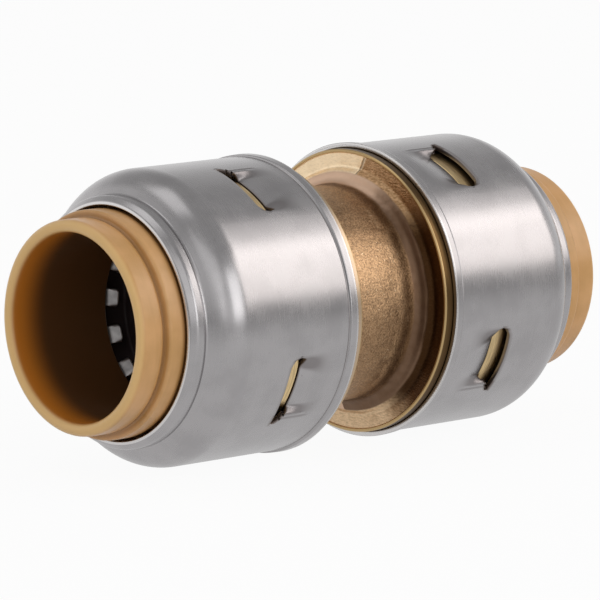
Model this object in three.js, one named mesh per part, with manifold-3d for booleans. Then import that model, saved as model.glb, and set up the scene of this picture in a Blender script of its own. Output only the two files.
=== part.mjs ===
/**
 * Push-fit coupling: joins two tubes of the same outside diameter end to end.
 *
 * The coupling lies along X with its middle at the origin and +Z up. Its two halves mirror each other
 * about the plane X = 0. From the middle outwards each half holds:
 *   brass_body        one turned forging, with a tube stop in the middle and a socket at each end;
 *   o_ring            the seal, in a seat bored in the mouth of the socket;
 *   o_ring_protector  the ring that keeps the O-ring in its seat and backs the grab ring;
 *   grab_ring         the dished steel ring whose teeth bite the tube;
 *   release_collar    the sleeve that slides in to lift the teeth off the tube;
 *   retaining_cap     the drawn steel cap, held to the body by four tabs that hook behind a flange.
 *
 * Every outline below is a list of [station, radius] points. A station is the distance from the plane
 * X = 0, and a radius is the distance from the X axis to the middle of a flat. Lengths are millimetres.
 */
import * as THREE from 'three';
import { mergeVertices } from 'three/addons/utils/BufferGeometryUtils.js';
import Module from 'manifold-3d';

const wasm = await Module();
wasm.setup();

// ---------------------------------------------------------------- driving dimensions

// Facets and clearances
const SIDES = 32; // flats around every round surface
const TUBE_GAP = 0.2; // radial, between the tube and each bore
const SEAT_GAP = 0.3; // between pieces that rest on each other
const RUNNING_GAP = 0.3; // between pieces that slide or turn on each other
const RIM_GAP = 0.2; // radial, between the body's flange and the flared rim of the cap

// Tube
const TUBE_DIAMETER = 15.875;

// Body
const STOP_HALF_LENGTH = 2.8;
const STOP_HEIGHT = 1.55;
const NECK_WALL = 1.35;
const NECK_HALF_LENGTH = 4.9; // middle of the body to the face of the flange
const NECK_FILLET_LENGTH = 1.8;
const BEAD_HEIGHT = 1.1; // raised ring around the foot of the neck
const FACE_GROOVE_DEPTH = 0.15; // shallow valley between the bead and the flange's rim
const FLANGE_RIM_WIDTH = 0.35;
const FLANGE_EDGE = 0.1; // broken edge of the flange
const FLANGE_LAND = 0.8; // length of the flange that stands clear of the cap
const FLANGE_STEP = 0.46; // flange above the lands that the cap runs on
const REAR_LAND = 1.8;
const GROOVE_LENGTH = 4.0; // groove that the tabs reach into
const GROOVE_WALL = 0.7; // metal between the groove and the O-ring seat
const HOOK_HEIGHT = 0.75; // height of the shoulder that the tabs hook behind
const FRONT_LAND = 2.9;

// O-ring and its protector
const O_RING_SECTION = 2.5;
const O_RING_SQUEEZE = 0.05; // how far the ring reaches inside the tube's surface
const O_RING_POINTS = 10; // points around the section
const HUB_LENGTH = 2.5; // part of the protector inside the body
const PROTECTOR_FLOOR = 0.8;
const RECESS_WALL = 0.74; // wall of the hub beside the recess for the lifted teeth
const RECESS_FLARE = 1.0; // how much wider the recess is at its mouth

// Grab ring
const GRAB_THICKNESS = 0.4;
const GRAB_SLOPE = 0.65; // rise along the axis for each millimetre of radius
const TOOTH_BITE = 0.34; // how far the tips reach inside the tube's surface
const TOOTH_ROOT = 2.16; // radius of the tooth roots above the bore
const TOOTH_COUNT = 16;
const TOOTH_GAP_ANGLE = 10.5; // degrees
const TOOTH_PHASE = 4; // degrees, from straight up towards -Y

// Release collar
const COLLAR_TRAVEL = 2.2;
const SLEEVE_WALL = 1.0;
const GUIDE_WALL = 1.71; // wall of the ring that runs in the cap's mouth
const LIP_WALL = 1.1;
const LIP_LENGTH = 2.6;
const LIP_ROUNDING = 0.35;
const COLLAR_PROJECTION = 4.13; // how far the collar stands out of the cap
const FLANGE_INTO_BEAD = 0.15; // how far the collar's flange sits past the middle of the cap's bead

// Retaining cap
const SHEET = 0.45;
const RIM_OVERLAP = 0.2; // gap along the axis from the flange's land to the cap's rim
const RIM_FLARE_LENGTH = 0.8;
const RIM_BLEND_LENGTH = 0.3;
const SHOULDER_RADIUS = 3.34;
const SHOULDER_ANGLE = 51; // degrees
const SHOULDER_STEPS = 4;
const NOSE_BEAD_RADIUS = 1.0;
const NOSE_BEAD_REACH = 1.02; // foot of the shoulder to the middle of the bead
const NOSE_BEAD_LIFT = 0.27; // middle of the bead above the mouth of the cap
const NOSE_BEAD_STEPS = 4;
const TAB_COUNT = 4;
const TAB_ANGLE = 30.5; // degrees of arc that each window takes
const TAB_PHASE = 27; // degrees, from straight up towards -Y
const TAB_SIDE_GAP = 1.2; // degrees
const TAB_ROOT_SETBACK = 0.4; // start of the groove to the root of the tab
const WINDOW_GAP = 1.75; // free edge of the tab to the far edge of its window
const TAB_OVERLAP = 0.3; // how far the tab's root runs into the sheet
const TAB_INSET = 0.05; // how far it stays inside both faces of the sheet there
const CUTTER_MARGIN = 1.0; // how far a cutter stands clear of what it cuts

// ---------------------------------------------------------------- sizes that follow

const DEGREE = Math.PI / 180;

// Radii, from the tube outwards
const tubeRadius = TUBE_DIAMETER / 2;
const boreRadius = tubeRadius + TUBE_GAP;
const stopRadius = boreRadius - STOP_HEIGHT;
const neckRadius = boreRadius + NECK_WALL;
const oRingInner = tubeRadius - O_RING_SQUEEZE;
const seatRadius = oRingInner + O_RING_SECTION + SEAT_GAP;
const grooveRadius = seatRadius + GROOVE_WALL;
const landRadius = grooveRadius + HOOK_HEIGHT;
const flangeRadius = landRadius + FLANGE_STEP;
const capInner = landRadius + RUNNING_GAP;
const capOuter = capInner + SHEET;
const rimOuter = flangeRadius + RIM_GAP + SHEET;
const guideRadius = boreRadius + GUIDE_WALL;
const mouthRadius = guideRadius + RUNNING_GAP;
const noseBeadMiddle = mouthRadius + NOSE_BEAD_LIFT;
const shoulderFootRadius = capOuter - SHOULDER_RADIUS * (1 - Math.cos(SHOULDER_ANGLE * DEGREE));
const noseWaist = Math.min(noseBeadMiddle + NOSE_BEAD_RADIUS, shoulderFootRadius);
const collarFlangeRadius = noseWaist - SHEET - RUNNING_GAP;

// Stations of the body, from the middle outwards
const flangeFace = NECK_HALF_LENGTH;
const landStart = flangeFace + FLANGE_LAND;
const rimStation = landStart + RIM_OVERLAP;
const grooveStart = landStart + REAR_LAND;
const grooveEnd = grooveStart + GROOVE_LENGTH;
const bodyEnd = grooveEnd + FRONT_LAND;

// Stations of what the socket holds
const protectorRear = bodyEnd - HUB_LENGTH;
const oRingStation = protectorRear - SEAT_GAP - O_RING_SECTION / 2;
const seatFloor = oRingStation - O_RING_SECTION / 2 - SEAT_GAP;
const recessFloor = protectorRear + PROTECTOR_FLOOR;
const grabAxialThickness = GRAB_THICKNESS * Math.hypot(1, GRAB_SLOPE);
const coneGap = SEAT_GAP * Math.hypot(1, GRAB_SLOPE);
const bentToothRoom = coneGap + grabAxialThickness + RUNNING_GAP;
const collarNose = recessFloor + bentToothRoom + COLLAR_TRAVEL;

/** Station of the grab ring's front face at a radius. */
const grabFront = (radius) => collarNose - coneGap + GRAB_SLOPE * (radius - boreRadius);
/** Station of the grab ring's back face at a radius. */
const grabBack = (radius) => grabFront(radius) - grabAxialThickness;

// Stations of the cap and the collar
const shoulderStart = grabFront(landRadius) - RUNNING_GAP / 2;
const shoulderFoot = shoulderStart + SHOULDER_RADIUS * Math.sin(SHOULDER_ANGLE * DEGREE);
const noseBeadStation = shoulderFoot + NOSE_BEAD_REACH;
const capFront = noseBeadStation + NOSE_BEAD_RADIUS;
const collarFace = capFront + COLLAR_PROJECTION;
const lipStart = collarFace - LIP_LENGTH;
const collarFlangeFront = noseBeadStation + FLANGE_INTO_BEAD;
const collarFlangeBack = grabFront(collarFlangeRadius) + RUNNING_GAP + COLLAR_TRAVEL;
const tabRoot = grooveStart + TAB_ROOT_SETBACK;
const tabEdge = grooveEnd - SEAT_GAP;
const windowEdge = tabEdge + WINDOW_GAP;

// ---------------------------------------------------------------- shape helpers

/** Points on an arc about [station, radius], by angle in degrees from the outward radius towards the front. */
function arc(station, radius, size, fromAngle, toAngle, steps) {
  const points = [];
  for (let i = 0; i <= steps; i += 1) {
    const angle = (fromAngle + ((toAngle - fromAngle) * i) / steps) * DEGREE;
    points.push([station + size * Math.sin(angle), radius + size * Math.cos(angle)]);
  }
  return points;
}

/** The same path moved sideways by a distance, towards its right-hand side, with mitred corners. */
function offsetPath(path, distance) {
  const normals = [];
  for (let i = 1; i < path.length; i += 1) {
    const along = path[i][0] - path[i - 1][0];
    const out = path[i][1] - path[i - 1][1];
    const length = Math.hypot(along, out);
    normals.push([out / length, -along / length]);
  }
  return path.map(([station, radius], i) => {
    const before = normals[Math.max(i - 1, 0)];
    const after = normals[Math.min(i, normals.length - 1)];
    const scale = distance / (1 + before[0] * after[0] + before[1] * after[1]);
    return [station + (before[0] + after[0]) * scale, radius + (before[1] + after[1]) * scale];
  });
}

/** Turns an outline of [station, radius] points, counterclockwise with stations to the right, about X. */
function turned(outline) {
  const widen = 1 / Math.cos(Math.PI / SIDES);
  const loop = [...outline, outline[0]].reverse();
  const points = loop.map(([station, radius]) => new THREE.Vector2(radius * widen, station));
  return new THREE.LatheGeometry(points, SIDES, Math.PI / SIDES).rotateZ(-Math.PI / 2);
}

/** A sector of a disc about X, from one station to another; its middle is at an angle from up towards -Y. */
function sector(middleAngle, halfAngle, outerRadius, fromStation, toStation) {
  const shape = new THREE.Shape();
  shape.moveTo(0, 0);
  for (const angle of [middleAngle - halfAngle, middleAngle, middleAngle + halfAngle]) {
    shape.lineTo(-outerRadius * Math.cos(angle * DEGREE), -outerRadius * Math.sin(angle * DEGREE));
  }
  const settings = { depth: toStation - fromStation, bevelEnabled: false };
  return new THREE.ExtrudeGeometry(shape, settings).rotateY(Math.PI / 2).translate(fromStation, 0, 0);
}

/** The closed solid inside a geometry, ready to be joined and cut. */
function solid(geometry) {
  const bare = geometry.clone();
  bare.deleteAttribute('normal');
  bare.deleteAttribute('uv');
  const merged = mergeVertices(bare);
  const vertProperties = new Float32Array(merged.attributes.position.array);
  const triVerts = new Uint32Array(merged.index.array);
  return new wasm.Manifold(new wasm.Mesh({ numProp: 3, vertProperties, triVerts }));
}

/** The surface of a solid as a geometry. */
function surface(body) {
  const mesh = body.getMesh();
  const geometry = new THREE.BufferGeometry();
  geometry.setAttribute('position', new THREE.BufferAttribute(mesh.vertProperties, 3));
  geometry.setIndex(new THREE.BufferAttribute(mesh.triVerts, 1));
  return geometry;
}

/** The geometry reflected in the plane X = 0, with its faces still pointing out. */
function reflected(geometry) {
  const copy = geometry.clone().scale(-1, 1, 1);
  const index = copy.index.array;
  for (let i = 0; i < index.length; i += 3) {
    [index[i], index[i + 1]] = [index[i + 1], index[i]];
  }
  return copy;
}

// ---------------------------------------------------------------- pieces

/** Brass body: neck, bead, flange, groove for the tabs, O-ring seat, bore and tube stop, at both ends. */
function brassBody() {
  const beadTop = neckRadius + BEAD_HEIGHT;
  const grooveFloor = flangeFace + FACE_GROOVE_DEPTH;
  const half = [
    [flangeFace - NECK_FILLET_LENGTH, neckRadius],
    [flangeFace - NECK_FILLET_LENGTH / 2, neckRadius + BEAD_HEIGHT * 0.4],
    [flangeFace - NECK_FILLET_LENGTH / 3, beadTop],
    [grooveFloor, beadTop + BEAD_HEIGHT * 0.6],
    [grooveFloor, flangeRadius - FLANGE_RIM_WIDTH],
    [flangeFace, flangeRadius - FLANGE_RIM_WIDTH + FLANGE_EDGE],
    [flangeFace, flangeRadius - FLANGE_EDGE],
    [flangeFace + FLANGE_EDGE, flangeRadius],
    [landStart, flangeRadius],
    [landStart + FLANGE_STEP, landRadius],
    [grooveStart, landRadius],
    [grooveStart, grooveRadius],
    [grooveEnd, grooveRadius],
    [grooveEnd, landRadius],
    [bodyEnd, landRadius],
    [bodyEnd, seatRadius],
    [seatFloor, seatRadius],
    [seatFloor, boreRadius],
    [STOP_HALF_LENGTH, boreRadius],
    [STOP_HALF_LENGTH, stopRadius],
  ];
  const otherHalf = half.map(([station, radius]) => [-station, radius]).reverse();
  return turned([...half, ...otherHalf].reverse());
}

/** O-ring: a round section in the seat. */
function oRing() {
  const middle = oRingInner + O_RING_SECTION / 2;
  const outline = arc(oRingStation, middle, O_RING_SECTION / 2, 0, -360, O_RING_POINTS);
  return turned(outline.slice(1));
}

/** O-ring protector: a hub in the seat, a flange on the body's face, and a recess for the lifted teeth. */
function oRingProtector() {
  const hubRadius = seatRadius - SEAT_GAP;
  const recessRadius = hubRadius - RECESS_WALL;
  const recessMouth = recessRadius + RECESS_FLARE;
  return turned([
    [protectorRear, boreRadius],
    [recessFloor, boreRadius],
    [recessFloor, recessRadius],
    [grabBack(recessMouth) - coneGap, recessMouth],
    [grabBack(landRadius) - coneGap, landRadius],
    [bodyEnd + SEAT_GAP, landRadius],
    [bodyEnd + SEAT_GAP, hubRadius],
    [protectorRear, hubRadius],
  ]);
}

/** Grab ring: a dished ring cut into teeth around its bore. */
function grabRing() {
  const tipRadius = tubeRadius - TOOTH_BITE;
  const disc = solid(turned([
    [grabFront(tipRadius), tipRadius],
    [grabFront(landRadius), landRadius],
    [grabBack(landRadius), landRadius],
    [grabBack(tipRadius), tipRadius],
  ]));
  const pitch = 360 / TOOTH_COUNT;
  const from = grabBack(tipRadius) - CUTTER_MARGIN;
  const to = grabFront(landRadius) + CUTTER_MARGIN;
  let ring = disc;
  for (let i = 0; i < TOOTH_COUNT; i += 1) {
    const gapMiddle = TOOTH_PHASE + (i + 0.5) * pitch;
    ring = ring.subtract(solid(sector(gapMiddle, TOOTH_GAP_ANGLE / 2, boreRadius + TOOTH_ROOT, from, to)));
  }
  return surface(ring);
}

/** Release collar: sleeve, flange that the cap holds in, guide ring and the lip that is pushed. */
function releaseCollar() {
  const sleeveRadius = boreRadius + SLEEVE_WALL;
  const lipRadius = boreRadius + LIP_WALL;
  return turned([
    [collarNose, boreRadius],
    [collarFace - LIP_ROUNDING, boreRadius],
    [collarFace, boreRadius + LIP_ROUNDING],
    [collarFace, lipRadius - LIP_ROUNDING],
    [collarFace - LIP_ROUNDING, lipRadius],
    [lipStart, lipRadius],
    [lipStart, guideRadius],
    [collarFlangeFront, guideRadius],
    [collarFlangeFront, collarFlangeRadius],
    [collarFlangeBack, collarFlangeRadius],
    [collarFlangeBack, sleeveRadius],
    [collarNose + GRAB_SLOPE * SLEEVE_WALL, sleeveRadius],
  ]);
}

/** Retaining cap: one drawn sheet from flared rim to rolled mouth, with a tab bent in at each window. */
function retainingCap() {
  const shoulder = arc(
    shoulderStart, capOuter - SHOULDER_RADIUS, SHOULDER_RADIUS, 0, SHOULDER_ANGLE, SHOULDER_STEPS,
  );
  const mouthAngle = 90 + Math.asin(NOSE_BEAD_LIFT / NOSE_BEAD_RADIUS) / DEGREE;
  const bead = arc(noseBeadStation, noseBeadMiddle, NOSE_BEAD_RADIUS, 0, mouthAngle, NOSE_BEAD_STEPS);
  const outside = [
    [rimStation, rimOuter],
    [rimStation + RIM_FLARE_LENGTH, (rimOuter + capOuter) / 2],
    [rimStation + RIM_FLARE_LENGTH + RIM_BLEND_LENGTH, capOuter],
    ...shoulder,
    ...bead,
  ];
  const shell = solid(turned([...offsetPath(outside, SHEET), ...outside.reverse()]));

  const edgeInner = grooveRadius + RUNNING_GAP;
  const tabCone = solid(turned([
    [tabRoot - TAB_OVERLAP, capInner + TAB_INSET],
    [tabRoot, capInner + TAB_INSET],
    [tabEdge, edgeInner],
    [tabEdge, edgeInner + SHEET],
    [tabRoot, capOuter - TAB_INSET],
    [tabRoot - TAB_OVERLAP, capOuter - TAB_INSET],
  ]));
  const reach = capOuter + CUTTER_MARGIN;
  let cap = shell;
  for (let i = 0; i < TAB_COUNT; i += 1) {
    const middle = TAB_PHASE + (i * 360) / TAB_COUNT;
    const window = solid(sector(middle, TAB_ANGLE / 2, reach, tabRoot, windowEdge));
    const width = sector(middle, TAB_ANGLE / 2 - TAB_SIDE_GAP, reach, tabRoot - TAB_OVERLAP, windowEdge);
    cap = cap.subtract(window).add(tabCone.intersect(solid(width)));
  }
  return surface(cap);
}

// ---------------------------------------------------------------- assembly

const FINISHES = {
  brass: { color: '#b98f5a', roughness: 0.55, metalness: 1.0 },
  stainless: { color: '#b4b2b0', roughness: 0.32, metalness: 1.0 },
  springSteel: { color: '#c2c2c0', roughness: 0.3, metalness: 1.0 },
  tanAcetal: { color: '#c79a60', roughness: 0.5, metalness: 0.0 },
  blackPlastic: { color: '#1b1a1c', roughness: 0.5, metalness: 0.0 },
  blackRubber: { color: '#121212', roughness: 0.7, metalness: 0.0 },
};

/** A named mesh of a geometry in one of the finishes. */
function piece(name, geometry, finish) {
  const mesh = new THREE.Mesh(geometry, new THREE.MeshStandardMaterial(FINISHES[finish]));
  mesh.name = name;
  return mesh;
}

const PAIRS = [
  ['o_ring', oRing(), 'blackRubber'],
  ['o_ring_protector', oRingProtector(), 'blackPlastic'],
  ['grab_ring', grabRing(), 'springSteel'],
  ['release_collar', releaseCollar(), 'tanAcetal'],
  ['retaining_cap', retainingCap(), 'stainless'],
];

const coupling = new THREE.Group();
coupling.add(piece('brass_body', brassBody(), 'brass'));
for (const [name, geometry, finish] of PAIRS) {
  coupling.add(piece(`left_${name}`, reflected(geometry), finish));
  coupling.add(piece(`right_${name}`, geometry, finish));
}

export default coupling;
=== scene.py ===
"""Push-fit coupling: the finished surfaces of its eleven pieces, and the studio that shows them.

The coupling lies along X with its middle at the origin and +Z up. Its left and right halves mirror each
other in the plane X = 0. A station is a distance from that plane, a radius is a distance from the X axis,
and an angle round the coupling is measured from straight up towards -Y. Lengths are metres.
"""

import logging
import math
from dataclasses import dataclass
from enum import Enum
from typing import Any, Sequence

import bpy
import numpy as np
from mathutils import Matrix, Vector


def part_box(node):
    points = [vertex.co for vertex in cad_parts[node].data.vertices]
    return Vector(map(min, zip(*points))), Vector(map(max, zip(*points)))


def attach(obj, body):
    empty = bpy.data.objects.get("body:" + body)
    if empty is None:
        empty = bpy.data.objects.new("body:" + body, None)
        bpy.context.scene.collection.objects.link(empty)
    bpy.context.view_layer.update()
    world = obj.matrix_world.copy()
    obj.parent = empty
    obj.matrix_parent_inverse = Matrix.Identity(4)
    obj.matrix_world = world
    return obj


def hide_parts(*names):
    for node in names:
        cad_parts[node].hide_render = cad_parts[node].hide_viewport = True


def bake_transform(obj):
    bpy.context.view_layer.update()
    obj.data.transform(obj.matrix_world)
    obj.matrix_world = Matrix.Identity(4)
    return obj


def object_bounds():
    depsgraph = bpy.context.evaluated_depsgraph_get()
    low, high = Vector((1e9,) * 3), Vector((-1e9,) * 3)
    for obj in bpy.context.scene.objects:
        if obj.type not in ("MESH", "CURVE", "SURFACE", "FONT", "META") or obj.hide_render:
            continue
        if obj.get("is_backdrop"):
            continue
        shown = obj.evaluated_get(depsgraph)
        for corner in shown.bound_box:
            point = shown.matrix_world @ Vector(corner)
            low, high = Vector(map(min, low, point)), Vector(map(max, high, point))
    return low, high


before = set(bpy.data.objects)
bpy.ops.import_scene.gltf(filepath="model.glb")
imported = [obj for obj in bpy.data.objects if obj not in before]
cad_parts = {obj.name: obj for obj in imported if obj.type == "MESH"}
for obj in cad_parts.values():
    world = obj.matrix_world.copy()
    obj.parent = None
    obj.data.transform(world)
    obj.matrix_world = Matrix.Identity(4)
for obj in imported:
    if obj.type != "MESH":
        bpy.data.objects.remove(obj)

LOG = logging.getLogger("coupling")
MM = 0.001
DEGREE = math.pi / 180

Triple = tuple[float, float, float]
Colour = tuple[float, float, float, float]
Masks = dict[str, np.ndarray]


class Side(Enum):
    """The half of the coupling that a piece belongs to; its value is the sign of its X."""

    LEFT = -1
    RIGHT = 1

    @property
    def word(self) -> str:
        """The side's name as the nodes and bodies spell it."""
        return self.name.lower()


class Slot(Enum):
    """The record's material slots."""

    BRASS = "forged_brass"
    STAINLESS = "stainless_sheet"
    SPRING = "spring_steel"
    TAN = "tan_plastic"
    BLACK = "black_plastic"
    RUBBER = "seal_rubber"


# ---------------------------------------------------------------- sizes


@dataclass(frozen=True)
class Fit:
    """Sizes that neighbouring pieces share, read from the boxes of the frame's nodes."""

    flange_radius: float
    body_end: float
    land_radius: float
    protector_rear: float
    hub_radius: float
    o_ring_station: float
    collar_nose: float
    collar_face: float
    collar_flange_radius: float
    rim_station: float
    bore_radius: float = 8.1375 * MM
    neck_radius: float = 9.4875 * MM
    flange_face: float = 4.9 * MM
    wall_radius: float = 12.8875 * MM
    groove_start: float = 7.5 * MM
    groove_end: float = 11.5 * MM
    running_gap: float = 0.3 * MM
    grab_slope: float = 0.65
    grab_sheet: float = 0.4 * MM

    @classmethod
    def from_frame(cls) -> "Fit":
        """Reads the shared sizes from the nodes of the right half.

        Returns:
            The sizes, in metres.
        """
        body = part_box("brass_body")[1]
        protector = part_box("right_o_ring_protector")
        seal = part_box("right_o_ring")
        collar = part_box("right_release_collar")
        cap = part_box("right_retaining_cap")
        return cls(
            flange_radius=body.z,
            body_end=body.x,
            land_radius=protector[1].z,
            protector_rear=protector[0].x,
            hub_radius=seal[1].z,
            o_ring_station=(seal[0].x + seal[1].x) / 2,
            collar_nose=collar[0].x,
            collar_face=collar[1].x,
            collar_flange_radius=collar[1].z,
            rim_station=cap[0].x,
        )

    def grab_front(self, radius: float) -> float:
        """Station of the grab ring's front face at a radius: a cone that leans out towards its rim."""
        gap = self.running_gap * math.hypot(1, self.grab_slope)
        return self.collar_nose - gap + self.grab_slope * (radius - self.bore_radius)

    def grab_back(self, radius: float) -> float:
        """Station of the grab ring's back face at a radius."""
        return self.grab_front(radius) - self.grab_sheet * math.hypot(1, self.grab_slope)


# ---------------------------------------------------------------- outlines and grids


def rounded(corners: Sequence[Triple], steps: int = 5, closed: bool = True) -> np.ndarray:
    """Rounds the corners of an outline with arcs that touch both of their sides.

    An arc of radius R in a corner that turns by T starts R tan(T/2) before the corner.

    Args:
        corners: station, radius and rounding of each corner, in order.
        steps: straight steps in each arc.
        closed: whether the last corner joins the first.

    Returns:
        The points of the rounded outline, one row each.
    """
    points = np.array([corner[:2] for corner in corners], float)
    count = len(points)
    pieces: list[np.ndarray] = []
    for i, (_, _, size) in enumerate(corners):
        if size <= 0 or (not closed and i in (0, count - 1)):
            pieces.append(points[i][None])
            continue
        before = points[i] - points[i - 1]
        after = points[(i + 1) % count] - points[i]
        room = min(np.linalg.norm(before), np.linalg.norm(after)) * 0.49
        before, after = before / np.linalg.norm(before), after / np.linalg.norm(after)
        turn = math.atan2(before[0] * after[1] - before[1] * after[0], before @ after)
        reach = min(size * abs(math.tan(turn / 2)), room)
        side = math.copysign(1.0, turn) * np.array([-before[1], before[0]])
        arc_radius = reach / abs(math.tan(turn / 2))
        start = points[i] - before * reach
        angles = np.linspace(0, abs(turn), steps + 1)[:, None]
        pieces.append(start + arc_radius * (np.sin(angles) * before + (1 - np.cos(angles)) * side))
    return np.vstack(pieces)


def dense(path: np.ndarray, step: float, closed: bool = True, guard: float = 0.05 * MM) -> np.ndarray:
    """Adds points along a path, and one close to each end of a long side so that corners shade crisply.

    Args:
        path: points of the path.
        step: longest side that is left.
        closed: whether the path joins its own start.
        guard: distance of the extra points from the ends of a long side.

    Returns:
        The points of the finer path.
    """
    ends = np.vstack([path[1:], path[:1]]) if closed else path[1:]
    pieces: list[np.ndarray] = []
    for start, end in zip(path, ends):
        length = float(np.linalg.norm(end - start))
        if length < 1e-9:
            continue
        shares = np.linspace(0, 1, max(1, math.ceil(length / step)) + 1)[:-1]
        if length > max(4 * guard, step):
            shares = np.unique(np.concatenate([shares, [guard / length, 1 - guard / length]]))
        pieces.append(start + shares[:, None] * (end - start))
    if not closed:
        pieces.append(path[-1:])
    return np.vstack(pieces)


def turned_grid(station: np.ndarray, radius: np.ndarray, angle: np.ndarray, side: Side) -> np.ndarray:
    """Points of a turned surface: x is the station, and y and z go round at the radius.

    Args:
        station: stations, broadcast to rows by columns.
        radius: radii, broadcast the same way.
        angle: angles round the coupling in radians, broadcast the same way.
        side: half that the surface belongs to.

    Returns:
        An array of rows by columns by 3.
    """
    station, radius, angle = np.broadcast_arrays(station, radius, angle)
    return np.stack([side.value * station, -radius * np.sin(angle), radius * np.cos(angle)], axis=-1)


def grid_faces(rows: int, columns: int, wrap_rows: bool, keep: np.ndarray | None = None) -> np.ndarray:
    """Four-cornered faces of a grid whose columns close on themselves.

    Args:
        rows: rows of points.
        columns: columns of points.
        wrap_rows: whether the last row joins the first.
        keep: faces to keep, as rows of cells by columns; all of them when it is left out.

    Returns:
        An array of faces by 4 point numbers.
    """
    row = np.arange(rows if wrap_rows else rows - 1)
    column = np.arange(columns)
    a, b = np.meshgrid(row, column, indexing="ij")
    here, below = a * columns, (a + 1) % rows * columns
    right = (b + 1) % columns
    faces = np.stack([here + b, below + b, below + right, here + right], -1)
    return (faces if keep is None else faces[keep]).reshape(-1, 4)


def ripples(points: np.ndarray, wavelength: float, amplitude: float, seed: int) -> np.ndarray:
    """Smooth unevenness at points: a sum of plane waves in seeded directions with seeded phases.

    Args:
        points: positions, one row each.
        wavelength: typical distance between crests.
        amplitude: typical height.
        seed: seed of the directions, lengths and phases.

    Returns:
        One height for each point.
    """
    waves = 48
    chance = np.random.default_rng(seed)
    direction = chance.normal(size=(waves, 3))
    direction /= np.linalg.norm(direction, axis=1, keepdims=True)
    pitch = 2 * math.pi / (wavelength * chance.uniform(0.6, 1.6, size=(waves, 1)))
    phase = chance.uniform(0, 2 * math.pi, size=waves)
    swing = np.sin(points @ (direction * pitch).T + phase)
    return amplitude * math.sqrt(2 / waves) * swing.sum(axis=1)


def smoothstep(value: np.ndarray, low: float, high: float) -> np.ndarray:
    """0 below low, 1 above high and 3t^2 - 2t^3 between; low may be the larger of the two."""
    share = np.clip((value - low) / (high - low), 0, 1)
    return share * share * (3 - 2 * share)


def new_object(
    name: str, points: np.ndarray, faces: np.ndarray, closed: bool = True, masks: Masks | None = None
) -> bpy.types.Object:
    """Makes an object of four-cornered faces, turned outwards by the sign of the volume they enclose.

    Points that no face uses are left out.

    Args:
        name: name of the object and its mesh.
        points: positions, of any leading shape.
        faces: point numbers of each face.
        closed: whether the faces enclose a volume; an open sheet is turned away from the X axis.
        masks: numbers for the material to read, one for each point, by name.

    Returns:
        The object, linked to the scene.
    """
    used, numbers = np.unique(faces, return_inverse=True)
    points, faces = points.reshape(-1, 3)[used], numbers.reshape(faces.shape)
    corners = points[faces]
    normal = np.cross(corners[:, 2] - corners[:, 0], corners[:, 3] - corners[:, 1])
    middle = corners.mean(axis=1)
    outward = middle if closed else middle * np.array([0, 1, 1])
    if float((normal * outward).sum()) < 0:
        faces = faces[:, ::-1]
    mesh = bpy.data.meshes.new(name)
    mesh.vertices.add(len(points))
    mesh.vertices.foreach_set("co", points.astype(np.float32).ravel())
    mesh.loops.add(faces.size)
    mesh.loops.foreach_set("vertex_index", np.ascontiguousarray(faces, np.int32).ravel())
    mesh.polygons.add(len(faces))
    mesh.polygons.foreach_set("loop_start", np.arange(0, faces.size, 4, dtype=np.int32))
    mesh.update(calc_edges=True)
    mesh.validate()
    for mask, values in (masks or {}).items():
        attribute = mesh.attributes.new(mask, "FLOAT", "POINT")
        attribute.data.foreach_set("value", values.ravel()[used].astype(np.float32))
    made = bpy.data.objects.new(name, mesh)
    bpy.context.scene.collection.objects.link(made)
    return made


def thicken(made: bpy.types.Object, sheet: float, edge: float, offset: float) -> None:
    """Gives a sheet its thickness, and breaks its cut edges.

    Args:
        made: object that holds the sheet's surface.
        sheet: thickness.
        edge: width of the broken edges.
        offset: 0 to add half to each side, and -1 to add it all behind the surface.
    """
    wall = made.modifiers.new("wall", "SOLIDIFY")
    wall.thickness = sheet
    wall.offset = offset
    broken = made.modifiers.new("broken_edge", "BEVEL")
    broken.width = edge
    broken.segments = 2
    broken.limit_method = "ANGLE"
    broken.angle_limit = 65 * DEGREE
    broken.use_clamp_overlap = False
    graph = bpy.context.evaluated_depsgraph_get()
    mesh = bpy.data.meshes.new_from_object(made.evaluated_get(graph))
    made.modifiers.clear()
    made.data = mesh
    mesh.name = made.name


def shade(made: bpy.types.Object, sharp: float = 38.0) -> None:
    """Shades a mesh smoothly, but for edges that turn by more than an angle in degrees."""
    made.data.shade_smooth()
    made.data.set_sharp_from_angle(angle=sharp * DEGREE)


# ---------------------------------------------------------------- shader maths


@dataclass(frozen=True)
class Value:
    """A socket that carries one number for each point of a surface, and takes part in arithmetic."""

    graph: "Graph"
    socket: bpy.types.NodeSocket

    def __add__(self, other: "Value | float") -> "Value":
        """self + other"""
        return self.graph.math("ADD", self, other)

    def __radd__(self, other: float) -> "Value":
        """other + self"""
        return self.graph.math("ADD", other, self)

    def __sub__(self, other: "Value | float") -> "Value":
        """self - other"""
        return self.graph.math("SUBTRACT", self, other)

    def __rsub__(self, other: float) -> "Value":
        """other - self"""
        return self.graph.math("SUBTRACT", other, self)

    def __mul__(self, other: "Value | float") -> "Value":
        """self * other"""
        return self.graph.math("MULTIPLY", self, other)

    def __rmul__(self, other: float) -> "Value":
        """other * self"""
        return self.graph.math("MULTIPLY", other, self)

    def __truediv__(self, other: "Value | float") -> "Value":
        """self / other"""
        return self.graph.math("DIVIDE", self, other)

    def __pow__(self, other: float) -> "Value":
        """self ** other"""
        return self.graph.math("POWER", self, other)

    def __abs__(self) -> "Value":
        """abs(self)"""
        return self.graph.math("ABSOLUTE", self)


Feed = Value | bpy.types.NodeSocket | float | tuple


def darker(colour: Colour, share: float) -> Colour:
    """A colour with its light cut to a share."""
    red, green, blue, alpha = colour
    return (share * red, share * green, share * blue, alpha)


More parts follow.
